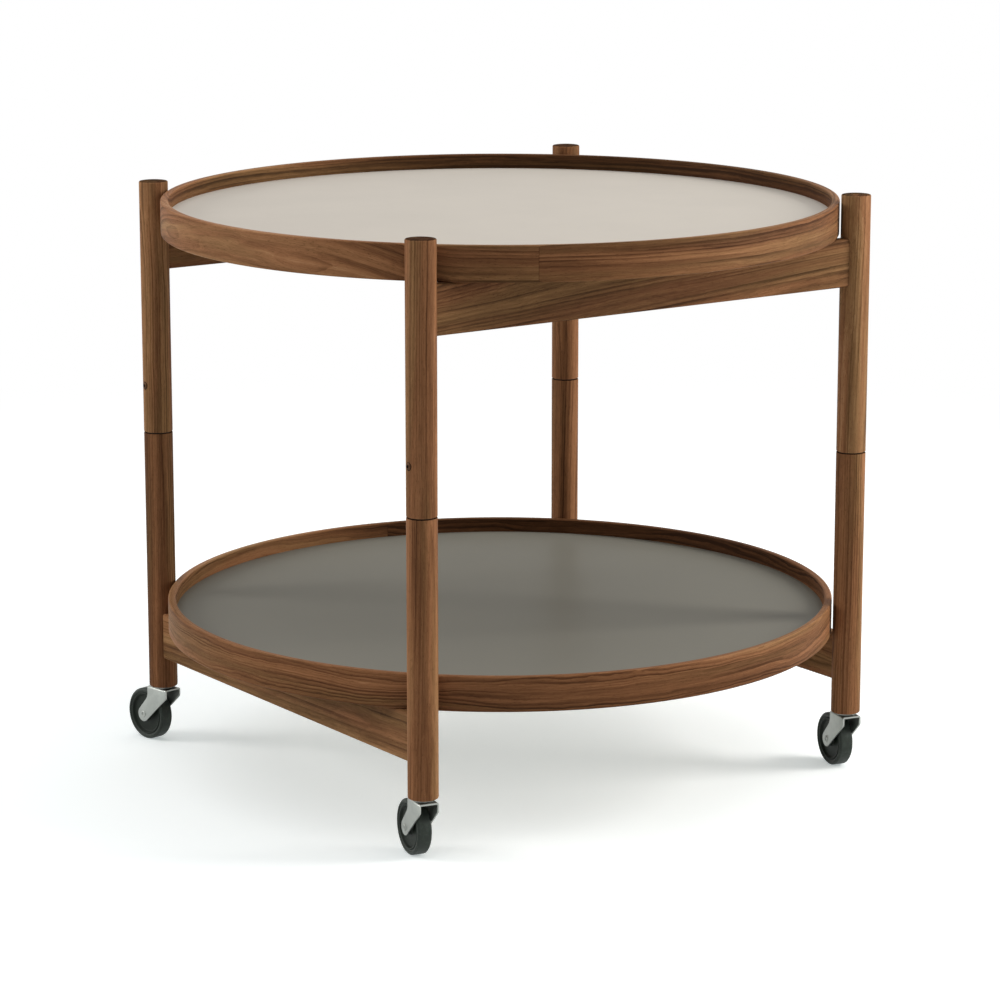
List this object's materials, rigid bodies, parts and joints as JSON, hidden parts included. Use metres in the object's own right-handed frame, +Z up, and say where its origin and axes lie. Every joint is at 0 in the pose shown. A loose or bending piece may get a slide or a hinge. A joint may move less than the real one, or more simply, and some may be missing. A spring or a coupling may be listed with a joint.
{
  "type": "serving trolley",
  "caption": "Round serving trolley with two lift-off trays on a folding four-legged wooden frame with swivel casters.",
  "frame": {"origin": "on the floor, under the centre of the trays", "axes": "+Z up; +X along the two upper rails, to the right when the front legs are towards the viewer; +Y to the back"},
  "size_m": [0.5999, 0.6, 0.5226],
  "materials": {
    "walnut_turned": "oiled walnut, grain along the leg",
    "walnut_rail": "oiled walnut, grain along the rail",
    "walnut_bent": "oiled bent walnut, grain round the rim",
    "board_core": "plain plywood core, covered on both faces",
    "laminate_light": "satin warm light grey laminate",
    "laminate_dark": "satin dark grey laminate",
    "pivot_steel": "plain turned steel",
    "screw_metal": "browned steel",
    "zinc_steel": "bright zinc plating on pressed steel",
    "wheel_plastic": "moulded dark grey plastic",
    "wheel_rubber": "dark grey rubber tread"
  },
  "bodies": {
    "left_lower_frame": {"caster_collar_back_left": "zinc_steel", "caster_collar_front_left": "zinc_steel", "caster_stem_back_left": "zinc_steel", "caster_stem_front_left": "zinc_steel", "lower_leg_back_left": "walnut_turned", "lower_leg_front_left": "walnut_turned", "lower_rail_left": "walnut_rail", "pivot_pin_back_left": "pivot_steel", "pivot_pin_front_left": "pivot_steel", "pivot_washer_back_left": "pivot_steel", "pivot_washer_front_left": "pivot_steel"},
    "right_lower_frame": {"caster_collar_back_right": "zinc_steel", "caster_collar_front_right": "zinc_steel", "caster_stem_back_right": "zinc_steel", "caster_stem_front_right": "zinc_steel", "lower_leg_back_right": "walnut_turned", "lower_leg_front_right": "walnut_turned", "lower_rail_right": "walnut_rail", "pivot_pin_back_right": "pivot_steel", "pivot_pin_front_right": "pivot_steel", "pivot_washer_back_right": "pivot_steel", "pivot_washer_front_right": "pivot_steel"},
    "front_upper_frame": {"upper_leg_front_left": "walnut_turned", "upper_leg_front_right": "walnut_turned", "upper_rail_front": "walnut_rail", "lock_screws_front": "screw_metal"},
    "back_upper_frame": {"upper_leg_back_left": "walnut_turned", "upper_leg_back_right": "walnut_turned", "upper_rail_back": "walnut_rail", "lock_screws_back": "screw_metal"},
    "upper_tray": {"upper_tray_board": "board_core", "upper_tray_bottom_laminate": "laminate_dark", "upper_tray_rim": "walnut_bent", "upper_tray_top_laminate": "laminate_light"},
    "lower_tray": {"lower_tray_board": "board_core", "lower_tray_bottom_laminate": "laminate_light", "lower_tray_rim": "walnut_bent", "lower_tray_top_laminate": "laminate_dark"},
    "caster_front_left": {"caster_fork_front_left": "zinc_steel", "caster_axle_front_left": "zinc_steel"},
    "wheel_front_left": {"wheel_hub_front_left": "wheel_plastic", "wheel_tyre_front_left": "wheel_rubber"},
    "caster_front_right": {"caster_fork_front_right": "zinc_steel", "caster_axle_front_right": "zinc_steel"},
    "wheel_front_right": {"wheel_hub_front_right": "wheel_plastic", "wheel_tyre_front_right": "wheel_rubber"},
    "caster_back_left": {"caster_fork_back_left": "zinc_steel", "caster_axle_back_left": "zinc_steel"},
    "wheel_back_left": {"wheel_hub_back_left": "wheel_plastic", "wheel_tyre_back_left": "wheel_rubber"},
    "caster_back_right": {"caster_fork_back_right": "zinc_steel", "caster_axle_back_right": "zinc_steel"},
    "wheel_back_right": {"wheel_hub_back_right": "wheel_plastic", "wheel_tyre_back_right": "wheel_rubber"}
  },
  "joints": [
    {"name": "frame_fold", "type": "hinge", "parent": "left_lower_frame", "child": "front_upper_frame", "pos_m": [-0.22903, -0.21553, 0.3], "axis": [0, 0, 1], "range_deg": [-0.2, 0.2]},
    {"name": "back_frame_fold", "type": "hinge", "parent": "left_lower_frame", "child": "back_upper_frame", "pos_m": [-0.22903, 0.21553, 0.3], "axis": [0, 0, 1], "range_deg": [-0.2, 0.2]},
    {"name": "right_frame_fold", "type": "hinge", "parent": "front_upper_frame", "child": "right_lower_frame", "pos_m": [0.22903, -0.21553, 0.3], "axis": [0, 0, 1], "range_deg": [-0.2, 0.2]},
    {"name": "upper_tray_lift", "type": "slide", "parent": "left_lower_frame", "child": "upper_tray", "axis": [0, 0, 1], "range_m": [0, 0.1]},
    {"name": "lower_tray_lift", "type": "slide", "parent": "left_lower_frame", "child": "lower_tray", "axis": [0, 0, 1], "range_m": [0, 0.28]},
    {"name": "swivel_front_left", "type": "hinge", "parent": "left_lower_frame", "child": "caster_front_left", "pos_m": [-0.22903, -0.21553, 0.052], "axis": [0, 0, 1], "continuous": true},
    {"name": "roll_front_left", "type": "hinge", "parent": "caster_front_left", "child": "wheel_front_left", "pos_m": [-0.22531, -0.19639, 0.024], "axis": [0.9816, -0.1908, 0], "continuous": true},
    {"name": "swivel_front_right", "type": "hinge", "parent": "right_lower_frame", "child": "caster_front_right", "pos_m": [0.22903, -0.21553, 0.052], "axis": [0, 0, 1], "continuous": true},
    {"name": "roll_front_right", "type": "hinge", "parent": "caster_front_right", "child": "wheel_front_right", "pos_m": [0.23342, -0.19653, 0.024], "axis": [0.9744, -0.225, 0], "continuous": true},
    {"name": "swivel_back_left", "type": "hinge", "parent": "left_lower_frame", "child": "caster_back_left", "pos_m": [-0.22903, 0.21553, 0.052], "axis": [0, 0, 1], "continuous": true},
    {"name": "roll_back_left", "type": "hinge", "parent": "caster_back_left", "child": "wheel_back_left", "pos_m": [-0.23275, 0.23467, 0.024], "axis": [0.9816, 0.1908, 0], "continuous": true},
    {"name": "swivel_back_right", "type": "hinge", "parent": "right_lower_frame", "child": "caster_back_right", "pos_m": [0.22903, 0.21553, 0.052], "axis": [0, 0, 1], "continuous": true},
    {"name": "roll_back_right", "type": "hinge", "parent": "caster_back_right", "child": "wheel_back_right", "pos_m": [0.23039, 0.23499, 0.024], "axis": [0.9976, -0.0698, 0], "continuous": true}
  ],
  "couplings": [
    {"joint": "back_frame_fold", "follows": "frame_fold", "ratio": 1},
    {"joint": "right_frame_fold", "follows": "frame_fold", "ratio": -1}
  ]
}
